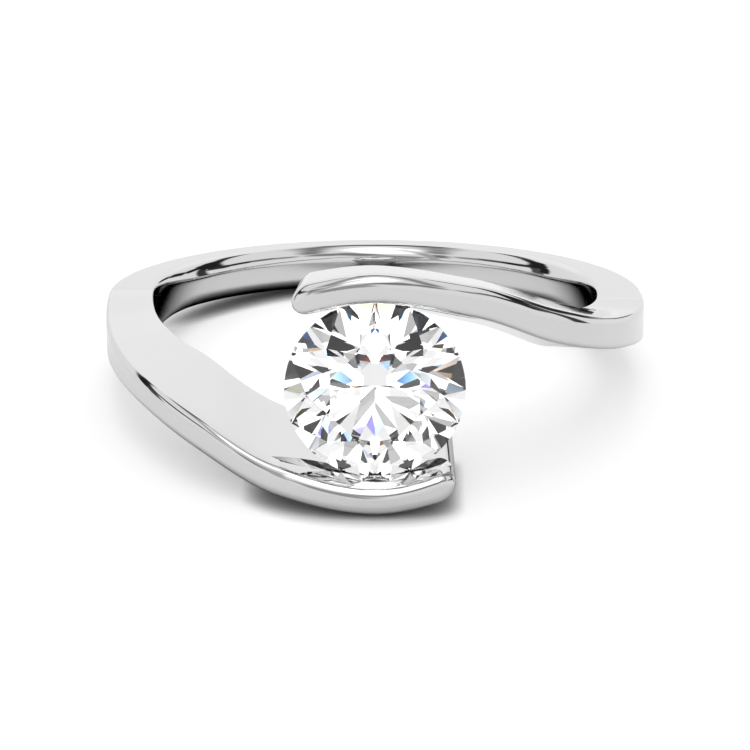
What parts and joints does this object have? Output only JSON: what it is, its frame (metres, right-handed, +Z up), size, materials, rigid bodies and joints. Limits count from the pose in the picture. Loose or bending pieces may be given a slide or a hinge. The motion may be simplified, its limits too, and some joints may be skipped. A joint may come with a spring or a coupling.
{
  "type": "tension set ring",
  "caption": "Bypass tension ring lying on its side: the ends of a polished band pass above and below a round brilliant and grip it at its girdle.",
  "frame": {"origin": "middle of the ring's footprint, on the surface it lies on", "axes": "+Z up, away from the surface; the stone faces -Y; +X to the right as seen from the stone's side; the finger axis leans from +Z towards +Y by the angle at which the ring rests"},
  "size_m": [0.0208, 0.023, 0.0082],
  "materials": {
    "white_metal": "mirror polished",
    "stone": "faceted and polished"
  },
  "bodies": {
    "root": {"ring_band": "white_metal", "centre_stone": "stone"}
  },
  "joints": []
}
